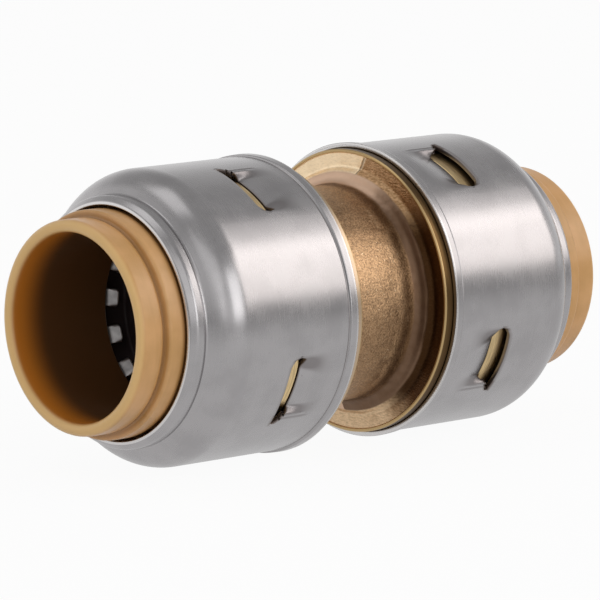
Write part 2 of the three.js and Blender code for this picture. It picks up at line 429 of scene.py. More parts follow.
class Graph:
    """The node tree of one material or world."""

    def __init__(self, tree: bpy.types.NodeTree) -> None:
        """Empties the tree."""
        self.tree = tree
        tree.nodes.clear()

    def feed(self, socket: bpy.types.NodeSocket, value: Feed) -> None:
        """Links a socket to another one, or sets its constant."""
        if isinstance(value, Value):
            value = value.socket
        if isinstance(value, bpy.types.NodeSocket):
            self.tree.links.new(value, socket)
        else:
            socket.default_value = value

    def add(
        self, kind: str, settings: dict[str, Any] | None = None, inputs: dict[str | int, Feed] | None = None
    ) -> bpy.types.Node:
        """Adds a node.

        Args:
            kind: type of the node, without its leading ShaderNode.
            settings: the node's own settings.
            inputs: values or links of its sockets, by name or number.

        Returns:
            The node.
        """
        node = self.tree.nodes.new("ShaderNode" + kind)
        for name, value in (settings or {}).items():
            setattr(node, name, value)
        for key, value in (inputs or {}).items():
            self.feed(node.inputs[key], value)
        return node

    def math(self, operation: str, *terms: "Value | float") -> Value:
        """The result of one Math node on its terms."""
        node = self.add("Math", {"operation": operation}, dict(enumerate(terms)))
        return Value(self, node.outputs[0])

    def ramp(
        self, value: Value, low: float, high: float, to_low: float = 0.0, to_high: float = 1.0
    ) -> Value:
        """A smooth step: to_low on low's side, and to_high on high's, whichever is the larger."""
        inputs = {"Value": value, "From Min": low, "From Max": high, "To Min": to_low, "To Max": to_high}
        node = self.add("MapRange", {"interpolation_type": "SMOOTHSTEP"}, inputs)
        return Value(self, node.outputs["Result"])

    def scale(self, vector: bpy.types.NodeSocket, factors: Triple) -> bpy.types.NodeSocket:
        """The vector with each of its parts multiplied by a factor."""
        return self.add("VectorMath", {"operation": "MULTIPLY"}, {0: vector, 1: factors}).outputs[0]

    def noise(
        self, vector: bpy.types.NodeSocket, scale: float, detail: float = 2, rough: float = 0.5
    ) -> Value:
        """Soft noise from 0 to 1 at a scale, in cells to the unit of the vector."""
        inputs = {"Vector": vector, "Scale": scale, "Detail": detail, "Roughness": rough}
        return Value(self, self.add("TexNoise", {}, inputs).outputs[0])

    def mix(self, factor: Feed, first: Feed, second: Feed) -> bpy.types.NodeSocket:
        """A colour between two others: the first at factor 0, and the second at 1."""
        return self.add("Mix", {"data_type": "RGBA"}, {"Factor": factor, 6: first, 7: second}).outputs[2]

    def ray(self, *kinds: str) -> Value:
        """1 for rays of any of the kinds, and 0 for others."""
        path = self.add("LightPath").outputs
        total = Value(self, path[f"Is {kinds[0]} Ray"])
        for kind in kinds[1:]:
            total = total + Value(self, path[f"Is {kind} Ray"])
        return self.math("MINIMUM", total, 1.0)

    def mask(self, name: str) -> Value:
        """The numbers that a piece stores under a name."""
        node = self.add("Attribute", {"attribute_type": "GEOMETRY", "attribute_name": name})
        return Value(self, node.outputs["Fac"])


@dataclass(frozen=True)
class Place:
    """Where a point of a piece is, in millimetres and degrees; along is its X."""

    position: bpy.types.NodeSocket
    along: Value
    station: Value
    radius: Value
    angle: Value

    @classmethod
    def of(cls, graph: Graph) -> "Place":
        """Adds the nodes that find the place from Object coordinates."""
        coordinates = graph.add("TexCoord").outputs["Object"]
        position = graph.scale(coordinates, (1 / MM, 1 / MM, 1 / MM))
        parts = graph.add("SeparateXYZ", {}, {0: position}).outputs
        x, y, z = (Value(graph, part) for part in parts)
        angle = graph.math("ARCTAN2", 0 - y, z) / DEGREE
        return cls(position, x, abs(x), (y * y + z * z) ** 0.5, angle)


# ---------------------------------------------------------------- finishes


@dataclass(frozen=True)
class Finish:
    """A finish that several pieces share: its name, and the constants of its shader."""

    name: str
    colour: Colour
    roughness: float
    metallic: float = 0.0

    def material(self) -> bpy.types.Material:
        """Makes the material.

        Returns:
            A material whose shader has this finish's constants and its variation over the surface.
        """
        made = bpy.data.materials.new(self.name)
        made.use_nodes = True
        graph = Graph(made.node_tree)
        constants = {"Metallic": self.metallic, "Roughness": self.roughness}
        shader = graph.add("BsdfPrincipled", {}, constants)
        graph.feed(shader.inputs["Base Color"], self.colour)
        output = graph.add("OutputMaterial")
        graph.feed(output.inputs["Surface"], shader.outputs[0])
        self.vary(graph, shader, Place.of(graph))
        return made

    def vary(self, graph: Graph, shader: bpy.types.Node, place: Place) -> None:
        """Adds what changes over the surface; each finish has its own."""

    def bump(self, graph: Graph, shader: bpy.types.Node, height: Value) -> None:
        """Raises the surface by a height in millimetres."""
        inputs = {"Height": height, "Distance": MM, "Strength": 1.0}
        graph.feed(shader.inputs["Normal"], graph.add("Bump", {}, inputs).outputs[0])


@dataclass(frozen=True)
class SatinStainless(Finish):
    """Drawn stainless sheet: faint lines, blotches and specks, with painted shade at its tabs, cuts and
    crease and painted highlights at its rims.
    """

    # painted shade on the pressed tab sides, and random dark specks
    shade_and_speck_colour: Colour = (0.20, 0.18, 0.18, 1.0)
    # painted shade along the slots' cut edges and the crease
    shade_line_colour: Colour = (0.16, 0.125, 0.11, 1.0)
    # painted highlight on the rim and the mouth
    edge_highlight: Colour = (0.80, 0.78, 0.77, 1.0)

    def vary(self, graph: Graph, shader: bpy.types.Node, place: Place) -> None:
        """Adds drawing lines, blotches, specks, painted shade at the tabs, cuts and crease, and painted
        highlights at the rims.
        """
        lines = graph.noise(graph.scale(place.position, (9.0, 0.3, 0.3)), 1.0, 3, 0.6)
        fine = graph.noise(graph.scale(place.position, (1.0, 8.0, 8.0)), 1.0, 2, 0.6)
        blotch = graph.noise(place.position, 0.35, 3)
        specks = graph.ramp(graph.noise(place.position, 2.6, 2), 0.72, 0.78)
        press, edge, shade_line = graph.mask("press"), graph.mask("edge"), graph.mask("shade_line")
        tone = graph.ramp(blotch + 0.25 * lines, 0.4, 0.8)
        # painted shade on the steep sides of the pressed tabs, plus random dark specks
        shade_and_specks = graph.math("MINIMUM", press * 0.7 + specks * 0.25, 1.0)
        base = graph.mix(tone, darker(self.colour, 0.88), self.colour)
        base = graph.mix(shade_and_specks, base, self.shade_and_speck_colour)
        # painted highlight along the rim and the mouth
        base = graph.mix(edge * 0.7, base, self.edge_highlight)
        # painted shade along the slots' cut edges, at their torn and closed ends, and along the crease
        base = graph.mix(shade_line, base, self.shade_line_colour)
        graph.feed(shader.inputs["Base Color"], base)
        uneven = 0.08 * (lines - 0.5) + 0.10 * (blotch - 0.5)
        graph.feed(shader.inputs["Roughness"], self.roughness + uneven + 0.10 * press + 0.2 * shade_line)
        self.bump(graph, shader, 0.0010 * lines + 0.0006 * fine + 0.004 * press * fine)


@dataclass(frozen=True)
class ForgedBrass(Finish):
    """Brass: a grainy neck, a smooth bead, a stained valley, and fine lines where it was turned.

    The valley of each flange is unstained over the top and down the back, as far as the parting line, and
    dark with oxide in front. Sizes are in millimetres and degrees, as Place gives them.
    """

    neck_radius: float = 9.4875
    foot_radius: float = 9.62
    bead_radius: float = 10.62
    rim_radius: float = 12.29
    land_radius: float = 12.5
    face: float = 4.9
    parting_angle: float = 8.5
    parting_lean: float = 1.5
    # oxide in patches and stains, and painted shade on the neck and in the bead's concave corner
    oxide_and_shade: Colour = (0.09, 0.04, 0.014, 1.0)
    pitch: Colour = (0.03, 0.013, 0.005, 1.0)
    bead: Colour = (0.19, 0.115, 0.072, 1.0)
    # painted light over the top of the bead
    bead_top_light: Colour = (0.66, 0.46, 0.33, 1.0)
    # unstained brass in the valley, and painted glints on the neck
    clean_and_glint: Colour = (1.0, 0.79, 0.53, 1.0)
    rusty: Colour = (0.26, 0.145, 0.06, 1.0)
    turned: Colour = (0.83, 0.62, 0.33, 1.0)
    # the land behind the rim: painted shade on the right side, painted light on the left
    painted_land: Colour = (0.12, 0.07, 0.028, 1.0)
    lit_land: Colour = (0.52, 0.39, 0.27, 1.0)
    rim: Colour = (0.50, 0.35, 0.17, 1.0)

    def vary(self, graph: Graph, shader: bpy.types.Node, place: Place) -> None:
        """Adds forging grain, oxide in the valley of the flange, painted light and shade on the neck, bead
        and land, painted shade at the bead's base, and turning lines.
        """
        radius, station, angle = place.radius, place.station, place.angle
        grain = graph.noise(place.position, 6.5, 2, 0.6)
        coarse = graph.noise(place.position, 1.7, 3, 0.55)
        patches = graph.noise(place.position, 0.5, 3, 0.6)
        lines = graph.noise(graph.scale(place.position, (12.0, 0.6, 0.6)), 1.0, 2)
        outside = graph.ramp(radius, self.neck_radius - 0.7, self.neck_radius - 0.6)
        before_face = graph.ramp(station, self.face + 0.35, self.face + 0.3)
        forged = outside * before_face * graph.ramp(radius, self.rim_radius + 0.05, self.rim_radius)
        past_foot = graph.ramp(radius, self.foot_radius - 0.04, self.foot_radius + 0.1)
        past_bead = graph.ramp(radius, self.bead_radius - 0.06, self.bead_radius + 0.1)
        # painted shade in the concave corner at the bead's base
        foot_shade = graph.ramp(abs(radius - self.foot_radius + 0.04), 0.16, 0.0)
        foot_shade = foot_shade * graph.ramp(station, 2.4, 3.2)
        parting = self.parting_angle + self.parting_lean * (radius - 11.3) + 1.2 * (coarse - 0.5)
        seam = graph.ramp(abs(angle - parting), 0.75, 0.15) * past_bead
        seam = seam * graph.ramp(radius, self.rim_radius, self.rim_radius - 0.2)
        over = graph.ramp(angle - parting, 0.0, 1.2)
        round_side = over * graph.ramp(angle + 14 * (patches - 0.5), 158, 132)
        base = self.neck_colour(graph, place, grain, coarse, patches)
        base = graph.mix(past_foot, base, self.bead_colour(graph, angle, coarse, patches))
        base = graph.mix(past_bead, base, self.valley_colour(graph, place, round_side))
        # painted shade in the concave corner at the bead's base, and the dark parting line
        base = graph.mix(graph.math("MAXIMUM", foot_shade * 0.75, seam * 0.6), base, self.oxide_and_shade)
        base = graph.mix(forged, self.turned_colour(graph, place, lines), base)
        graph.feed(shader.inputs["Base Color"], base)
        turned_rough = 0.24 + 0.12 * lines
        forged_rough = self.roughness + 0.18 * (coarse - 0.5) + 0.08 * past_foot * (1 - past_bead)
        graph.feed(shader.inputs["Roughness"], turned_rough + forged * (forged_rough - turned_rough))
        rough_skin = 1 - 0.8 * past_foot * (1 - past_bead * round_side)
        height = forged * rough_skin * (0.05 * grain + 0.014 * coarse)
        self.bump(graph, shader, height + (1 - forged) * 0.0025 * lines - 0.03 * seam)

    def neck_colour(
        self, graph: Graph, place: Place, grain: Value, coarse: Value, patches: Value
    ) -> bpy.types.NodeSocket:
        """Colour of the neck: dull and bright grain, painted glints, oxide in patches, and painted shade
        over the top and low on the front.

        Args:
            graph: the material's node tree.
            place: where the point is.
            grain: noise as fine as the forging grain.
            coarse: noise a few grains wide.
            patches: noise as wide as the patches of oxide.

        Returns:
            The colour.
        """
        worn = graph.ramp(grain + 0.35 * (coarse - 0.5), 0.34, 0.62)
        # painted glints: bright specks of the brightest brass colour
        glint = graph.ramp(graph.noise(place.position, 5.5, 2), 0.66, 0.72)
        base = graph.mix(worn, darker(self.colour, 0.56), self.colour)
        base = graph.mix(glint * 0.8, base, self.clean_and_glint)
        base = graph.mix(graph.ramp(patches, 0.5, 0.75) * 0.25, base, self.oxide_and_shade)
        # painted shade: the neck darkens low on its front
        base = graph.mix(graph.ramp(place.angle, 74, 108) * 0.40, base, self.oxide_and_shade)
        # painted shadow over the top of the neck
        return graph.mix(graph.ramp(place.angle, 60, 40) * 0.30, base, self.oxide_and_shade)

    def bead_colour(
        self, graph: Graph, angle: Value, coarse: Value, patches: Value
    ) -> bpy.types.NodeSocket:
        """Colour of the bead at the flange: dark with patches of oxide, and painted light over the top.

        Args:
            graph: the material's node tree.
            angle: angle of the point.
            coarse: noise a few grains wide.
            patches: noise as wide as the patches of oxide.

        Returns:
            The colour.
        """
        bead = graph.mix(graph.ramp(patches + 0.3 * coarse, 0.45, 0.9) * 0.35, self.bead, self.oxide_and_shade)
        # painted light: the bead is lighter over the top
        return graph.mix(graph.ramp(angle + 24 * (patches - 0.5), 46, 14), bead, self.bead_top_light)

    def valley_colour(self, graph: Graph, place: Place, round_side: Value) -> bpy.types.NodeSocket:
        """Colour of the flange's valley: unstained brass, rust round the side, and stains over the rust.

        Args:
            graph: the material's node tree.
            place: where the point is.
            round_side: 1 from the parting line round the side, and 0 elsewhere.

        Returns:
            The colour.
        """
        streaks = graph.noise(graph.scale(place.position, (1.0, 0.8, 2.6)), 2.6, 5, 0.7)
        stained = round_side * graph.ramp(place.angle + 26 * (streaks - 0.5), 40, 60)
        rusty = graph.mix(graph.ramp(streaks, 0.30, 0.70), self.rusty, self.colour)
        valley = graph.mix(graph.ramp(streaks, 0.25, 0.6), darker(self.clean_and_glint, 0.8), self.clean_and_glint)
        valley = graph.mix(graph.ramp(abs(place.angle), 120, 150) * 0.6, valley, rusty)
        valley = graph.mix(round_side, valley, rusty)
        valley = graph.mix(stained * graph.ramp(streaks, 0.85, 0.45, 0.86, 0.99), valley, self.oxide_and_shade)
        return graph.mix(stained * graph.ramp(place.radius, 11.7, 11.1) * 0.75, valley, self.pitch)

    def turned_colour(self, graph: Graph, place: Place, lines: Value) -> bpy.types.NodeSocket:
        """Colour where a tool has cut: turning lines, the flange's front rim, and the land behind it, in
        painted light on the left and painted shade on the right.

        Args:
            graph: the material's node tree.
            place: where the point is.
            lines: noise drawn out round the axis.

        Returns:
            The colour.
        """
        front = graph.ramp(place.radius, self.rim_radius - 0.11, self.rim_radius - 0.03)
        front = front * graph.ramp(place.station, self.face + 0.3, self.face + 0.2)
        behind = graph.ramp(place.radius, self.land_radius, self.land_radius + 0.06)
        behind = behind * graph.ramp(place.station, self.face + 0.12, self.face + 0.2)
        behind = behind * graph.ramp(place.station, self.face + 1.5, self.face + 1.0)
        # painted light on the left side's land, painted shade on the right side's, in the gap under the cap
        painted_land = graph.mix(graph.ramp(place.along, -1.0, 1.0), self.lit_land, self.painted_land)
        turned = graph.mix(graph.ramp(lines, 0.36, 0.64), darker(self.turned, 0.66), self.turned)
        turned = graph.mix(front, turned, self.rim)
        return graph.mix(behind, turned, painted_land)


@dataclass(frozen=True)
class MouldedPlastic(Finish):
    """Moulded plastic: a slight mottle and flow lines, with painted light and shade in the bore, a painted
    highlight on the lip's end face, and painted shade in the groove and undercut.
    """

    mottle: Colour = (0.53, 0.29, 0.10, 1.0)
    # painted light and shade in the bore
    bore_light: Colour = (0.60, 0.20, 0.022, 1.0)
    bore_shade: Colour = (0.10, 0.042, 0.014, 1.0)
    # painted highlight on the lip's end face
    lip_face_light: Colour = (0.80, 0.52, 0.21, 1.0)
    # painted shade in the groove and the undercut
    groove: Colour = (0.20, 0.085, 0.022, 1.0)

    def vary(self, graph: Graph, shader: bpy.types.Node, place: Place) -> None:
        """Adds mottle, flow lines, a fine skin, and the painted light and shade that the piece's masks
        mark.
        """
        mottle = graph.noise(place.position, 0.3, 3)
        skin = graph.noise(place.position, 7.0, 2)
        flow = graph.noise(graph.scale(place.position, (3.5, 0.3, 0.3)), 1.0, 3)
        bore, depth = graph.mask("bore"), graph.mask("depth")
        corner, lip_face_light = graph.mask("corner"), graph.mask("lip_face_light")
        base = graph.mix(graph.ramp(mottle + 0.2 * flow, 0.4, 0.85), self.colour, self.mottle)
        # painted highlight on the lip's end face
        base = graph.mix(lip_face_light * 0.8, base, self.lip_face_light)
        # painted light and shade in the bore: bright orange by the end face, darkening further in
        base = graph.mix(bore, base, graph.mix(depth, self.bore_light, self.bore_shade))
        # painted shade in the groove at the lip and in the undercut
        base = graph.mix(corner, base, self.groove)
        graph.feed(shader.inputs["Base Color"], base)
        uneven = 0.12 * (flow - 0.5) + 0.06 * (skin - 0.5)
        graph.feed(shader.inputs["Roughness"], self.roughness + uneven)
        self.bump(graph, shader, 0.0016 * skin + 0.002 * flow)


@dataclass(frozen=True)
class SpringSteel(Finish):
    """Stamped spring steel: soft blotches, and fine rolling lines that run one way."""

    def vary(self, graph: Graph, shader: bpy.types.Node, place: Place) -> None:
        """Adds blotches to the colour, and rolling lines to roughness and height."""
        lines = graph.noise(graph.scale(place.position, (2.0, 14.0, 1.0)), 1.0, 2)
        blotch = graph.noise(place.position, 1.2, 2)
        base = graph.mix(graph.ramp(blotch, 0.3, 0.75), self.colour, darker(self.colour, 0.7))
        graph.feed(shader.inputs["Base Color"], base)
        graph.feed(shader.inputs["Roughness"], self.roughness + 0.16 * (lines - 0.5))
        self.bump(graph, shader, 0.002 * lines)


@dataclass(frozen=True)
class SealRubber(Finish):
    """Black seal rubber: matt, with a little bloom and a fine skin."""

    bloom: Colour = (0.05, 0.05, 0.05, 1.0)

    def vary(self, graph: Graph, shader: bpy.types.Node, place: Place) -> None:
        """Adds bloom and a fine skin."""
        bloom = graph.noise(place.position, 0.8, 3)
        skin = graph.noise(place.position, 9.0, 2)
        base = graph.mix(graph.ramp(bloom, 0.5, 0.9), self.colour, self.bloom)
        graph.feed(shader.inputs["Base Color"], base)
        graph.feed(shader.inputs["Roughness"], self.roughness + 0.15 * (bloom - 0.5))
        self.bump(graph, shader, 0.003 * skin)


@dataclass
class Finishes:
    """One material for each finish of the coupling."""

    brass: bpy.types.Material
    stainless: bpy.types.Material
    spring: bpy.types.Material
    tan: bpy.types.Material
    black: bpy.types.Material
    rubber: bpy.types.Material

    @classmethod
    def make(cls) -> "Finishes":
        """Makes the materials.

        Returns:
            The set of materials.
        """
        brass = ForgedBrass("forged_brass", (0.66, 0.42, 0.235, 1.0), 0.40, 1.0)
        stainless = SatinStainless("satin_stainless", (0.435, 0.42, 0.425, 1.0), 0.27, 1.0)
        spring = SpringSteel("spring_steel", (0.37, 0.355, 0.35, 1.0), 0.38, 1.0)
        tan = MouldedPlastic("tan_acetal", (0.64, 0.355, 0.145, 1.0), 0.33)
        black = MouldedPlastic(
            "black_plastic", (0.034, 0.021, 0.022, 1.0), 0.62, mottle=(0.05, 0.034, 0.036, 1.0)
        )
        rubber = SealRubber("seal_rubber", (0.012, 0.012, 0.012, 1.0), 0.62)
        return cls(*(finish.material() for finish in (brass, stainless, spring, tan, black, rubber)))


# ---------------------------------------------------------------- pieces


def dress(made: bpy.types.Object, material: bpy.types.Material, slot: Slot, *nodes: str) -> None:
    """Gives a piece its material and hides the nodes it stands for."""
    made.data.materials.clear()
    made.data.materials.append(material)
    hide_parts(*nodes)
    LOG.info("%s: %d faces, in %s", made.name, len(made.data.polygons), material.name)


def turned_piece(
    name: str, outline: np.ndarray, columns: int, side: Side, masks: Masks | None = None
) -> bpy.types.Object:
    """A closed outline carried once round the X axis.

    Args:
        name: name of the object.
        outline: stations and radii of the closed outline.
        columns: points round the axis.
        side: half that the piece belongs to.
        masks: numbers for the material to read, one for each point of the outline, by name.

    Returns:
        The object, shaded.
    """
    angle = np.linspace(0, 2 * math.pi, columns, endpoint=False)[None]
    points = turned_grid(outline[:, :1], outline[:, 1:], angle, side)
    spread = {mask: np.repeat(values, columns) for mask, values in (masks or {}).items()}
    made = new_object(name, points, grid_faces(len(outline), columns, True), masks=spread)
    shade(made)
    return made


@dataclass
class BrassBody:
    """The forged brass body: neck, bead, flange, tab groove, O-ring seat, bore and tube stop."""

    fit: Fit
    columns: int = 264
    neck_end: float = 2.2 * MM
    neck_rise: float = 3.75 * MM
    neck_rise_height: float = 0.08 * MM
    bead_foot: float = 4.3 * MM
    bead_foot_height: float = 0.44 * MM
    bead_station: float = 4.55 * MM
    bead_height: float = 1.12 * MM
    valley_depth: float = 0.15 * MM
    valley_radius: float = 11.02 * MM
    rim_width: float = 0.35 * MM
    rim_edge: float = 0.1 * MM
    land_start: float = 5.9 * MM
    land_step: float = 0.35 * MM
    groove_radius: float = 11.3875 * MM
    seat_radius: float = 10.6875 * MM
    seat_floor: float = 8.8 * MM
    stop_half: float = 2.8 * MM
    stop_radius: float = 6.5875 * MM

    def outline(self) -> np.ndarray:
        """The section of the right half, rounded at its corners, followed by its mirror image.

        Returns:
            The closed outline of the whole body.
        """
        fit, fine = self.fit, 0.08 * MM
        valley = fit.flange_face + self.valley_depth
        rim_inner = fit.flange_radius - self.rim_width
        half = [
            (self.neck_end, fit.neck_radius, 3.2 * MM),
            (self.neck_rise, fit.neck_radius + self.neck_rise_height, 1.6 * MM),
            (self.bead_foot, fit.neck_radius + self.bead_foot_height, 0.9 * MM),
            (self.bead_station, fit.neck_radius + self.bead_height, 0.9 * MM),
            (valley, self.valley_radius, 0.4 * MM),
            (valley, rim_inner, 0.05 * MM),
            (fit.flange_face, rim_inner + self.rim_edge, 0.05 * MM),
            (fit.flange_face, fit.flange_radius - self.rim_edge, 0.06 * MM),
            (fit.flange_face + self.rim_edge, fit.flange_radius, 0.06 * MM),
            (self.land_start, fit.flange_radius, fine),
            (self.land_start + self.land_step, fit.land_radius, fine),
            (fit.groove_start, fit.land_radius, fine),
            (fit.groove_start, self.groove_radius, fine),
            (fit.groove_end, self.groove_radius, fine),
            (fit.groove_end, fit.land_radius, fine),
            (fit.body_end, fit.land_radius, 0.2 * MM),
            (fit.body_end, self.seat_radius, 0.2 * MM),
            (self.seat_floor, self.seat_radius, fine),
            (self.seat_floor, fit.bore_radius, fine),
            (self.stop_half, fit.bore_radius, 0.15 * MM),
            (self.stop_half, self.stop_radius, 0.2 * MM),
        ]
        other = [(-station, radius, size) for station, radius, size in reversed(half)]
        return dense(rounded([*half, *other]), 0.80 * MM)

    def roughened(self, points: np.ndarray) -> np.ndarray:
        """Moves the forged skin in and out by long waves, and on the neck by short ones too.

        The move is along the radius, and beside the flange along X as well.

        Args:
            points: positions on the body, one row each.

        Returns:
            The moved positions.
        """
        neck = self.fit.neck_radius
        station, radius = np.abs(points[:, 0]), np.hypot(points[:, 1], points[:, 2])
        forged = smoothstep(radius, 9.0 * MM, 9.3 * MM) * smoothstep(radius, 12.1 * MM, 11.6 * MM)
        forged *= smoothstep(station, 5.6 * MM, 5.2 * MM)
        grainy = 1 - smoothstep(radius, neck + 0.1 * MM, neck + 0.4 * MM)
        height = ripples(points, 2.4 * MM, 0.02 * MM, 3)
        height = forged * (height + grainy * ripples(points, 0.7 * MM, 0.012 * MM, 4))
        moved = points + (height / radius)[:, None] * points * np.array([0, 1, 1])
        moved[:, 0] -= np.sign(points[:, 0]) * height * smoothstep(station, 4 * MM, 4.8 * MM)
        return moved

    def build(self, finishes: Finishes) -> None:
        """Turns the body, roughens its forged skin and dresses it."""
        outline = self.outline()
        angle = np.linspace(0, 2 * math.pi, self.columns, endpoint=False)[None]
        points = turned_grid(outline[:, :1], outline[:, 1:], angle, Side.RIGHT).reshape(-1, 3)
        faces = grid_faces(len(outline), self.columns, True)
        made = new_object("brass_body_forging", self.roughened(points), faces)
        shade(made)
        dress(made, finishes.brass, Slot.BRASS, "brass_body")
        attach(made, "body")


@dataclass
class Socket:
    """The O-ring and its protector in the mouth of one socket of the body."""

    fit: Fit
    side: Side
    section: float = 2.5 * MM
    section_points: int = 40
    ring_columns: int = 200
    protector_columns: int = 240
    flash: float = 0.03 * MM
    floor: float = 0.8 * MM
    recess_wall: float = 0.74 * MM
    recess_flare: float = 1.0 * MM
    flange_gap: float = 0.3 * MM

    def o_ring(self, finishes: Finishes) -> None:
        """A circle carried round the axis, with a slight flash line outside and inside."""
        around = np.linspace(0, 2 * math.pi, self.section_points, endpoint=False)
        size = self.section / 2 + self.flash * np.exp(-((np.sin(around) / 0.12) ** 2)) - self.flash
        station = self.fit.o_ring_station + size * np.sin(around)
        radius = self.fit.hub_radius - self.section / 2 + size * np.cos(around)
        outline = np.stack([station, radius], 1)
        made = turned_piece(f"{self.side.word}_seal_ring", outline, self.ring_columns, self.side)
        dress(made, finishes.rubber, Slot.RUBBER, f"{self.side.word}_o_ring")
        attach(made, "body")

    def protector(self, finishes: Finishes) -> None:
        """The protector's section, rounded at its corners and carried round the axis."""
        fit, fine = self.fit, 0.12 * MM
        gap = fit.running_gap * math.hypot(1, fit.grab_slope)
        recess = fit.hub_radius - self.recess_wall
        mouth = recess + self.recess_flare
        face = fit.body_end + self.flange_gap
        corners = [
            (fit.protector_rear, fit.bore_radius, fine),
            (fit.protector_rear + self.floor, fit.bore_radius, fine),
            (fit.protector_rear + self.floor, recess, 0.25 * MM),
            (fit.grab_back(mouth) - gap, mouth, fine),
            (fit.grab_back(fit.land_radius) - gap, fit.land_radius, fine),
            (face, fit.land_radius, fine),
            (face, fit.hub_radius, 0.05 * MM),
            (fit.protector_rear, fit.hub_radius, fine),
        ]
        outline = dense(rounded(corners), 0.4 * MM)
        name = f"{self.side.word}_protector_ring"
        made = turned_piece(name, outline, self.protector_columns, self.side)
        dress(made, finishes.black, Slot.BLACK, f"{self.side.word}_o_ring_protector")
        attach(made, "body")

    def build(self, finishes: Finishes) -> None:
        """Builds both rings."""
        self.o_ring(finishes)
        self.protector(finishes)


@dataclass
class GrabRing:
    """The dished ring of spring steel, with sixteen teeth that lean in towards the tube."""

    fit: Fit
    side: Side
    teeth: int = 16
    gap_angle: float = 12.3
    phase: float = 4.0
    tip_radius: float = 7.70 * MM
    tip_rounding: float = 0.30 * MM
    root_radius: float = 10.2975 * MM
    root_rounding: float = 0.55 * MM
    tip_bend: float = 0.06 * MM
    edge: float = 0.05 * MM
    bend_near: float = 16.3 * MM
    bend_far: float = 16.8 * MM

    def build(self, finishes: Finishes) -> None:
        """Makes the middle surface of the ring, cuts the gaps, gives it thickness and dresses it.

        The surface is a cone by radius and angle. In each gap the columns draw together towards the
        root, so that the gap ends in an arc: half its width times the square root of 1 - t^2, where t
        runs through the rounding.
        """
        fit = self.fit
        roots = np.linspace(self.tip_radius, self.root_radius, 26)
        rows = np.concatenate([roots, np.linspace(self.root_radius, fit.land_radius, 15)[1:]])
        pitch = 360 / self.teeth
        half_gap, half_pitch = self.gap_angle / 2, pitch / 2
        tooth = np.linspace(-half_pitch, -half_gap, 9)[:-1]
        gap = np.linspace(-half_gap, half_gap, 9)[:-1]
        local = np.concatenate([tooth, gap, np.linspace(half_gap, half_pitch, 9)[:-1]])
        angle = (local[None] + (np.arange(self.teeth)[:, None] + 0.5) * pitch).ravel() + self.phase
        offset = np.tile(local, self.teeth)[None]
        level = rows[:, None]
        share = np.clip(1 + (level - self.root_radius) / self.root_rounding, 0, 0.995)
        plain = half_gap * (0.1 + 0.9 * smoothstep(level, self.root_radius, fit.land_radius))
        past_root = level > self.root_radius + 1e-9
        width = np.where(past_root, plain, half_gap * np.sqrt(1 - share**2))
        beyond = (np.abs(offset) - half_gap) / (half_pitch - half_gap)
        warped = np.where(
            np.abs(offset) <= half_gap,
            offset * width / half_gap,
            np.sign(offset) * (width + (half_pitch - width) * beyond),
        )
        angles = (angle[None] - offset + warped) * DEGREE
        bend = self.tip_bend * smoothstep(rows, self.tip_radius + 0.7 * MM, self.tip_radius)
        middle = (np.array([fit.grab_front(r) + fit.grab_back(r) for r in rows]) / 2 - bend)[:, None]
        radii = level + self.tip_corner(np.abs(angles / DEGREE - angle[None] + offset), level)
        points = turned_grid(middle, radii, angles, self.side)
        cell_offset = np.tile(np.roll(local, -1) + local, self.teeth) / 2
        in_gap = np.abs(cell_offset) < half_gap - 0.01
        in_gap &= np.tile(np.arange(len(local)), self.teeth) < len(local) - 1
        toothed = level[:-1] < self.root_radius - 1e-9
        faces = grid_faces(len(rows), len(angle), False, ~(toothed & in_gap[None]))
        made = new_object(f"{self.side.word}_toothed_ring", points, faces, False)
        thicken(made, fit.grab_sheet, self.edge, 0)
        shade(made)
        dress(made, finishes.spring, Slot.SPRING, f"{self.side.word}_grab_ring")
        start = (self.side.value * self.bend_far, 0, 0)
        end = (self.side.value * self.bend_near, 0, 0)
        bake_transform(made)

    def tip_corner(self, offset: np.ndarray, radius: np.ndarray) -> np.ndarray:
        """How far a tooth's tip draws outwards near its corners, so that they are round.

        With t the way into the corner, the draw is the rounding times 1 - sqrt(1 - t^2), and it fades
        over the first millimetre of the tooth.

        Args:
            offset: degrees from the middle of the nearest gap.
            radius: radius of each row.

        Returns:
            The outward draw of each point.
        """
        arc = (offset - self.gap_angle / 2) * DEGREE * self.tip_radius
        into = np.clip(1 - arc / self.tip_rounding, 0, 0.98)
        fade = smoothstep(radius, self.tip_radius + MM, self.tip_radius)
        return self.tip_rounding * (1 - np.sqrt(1 - into**2)) * fade


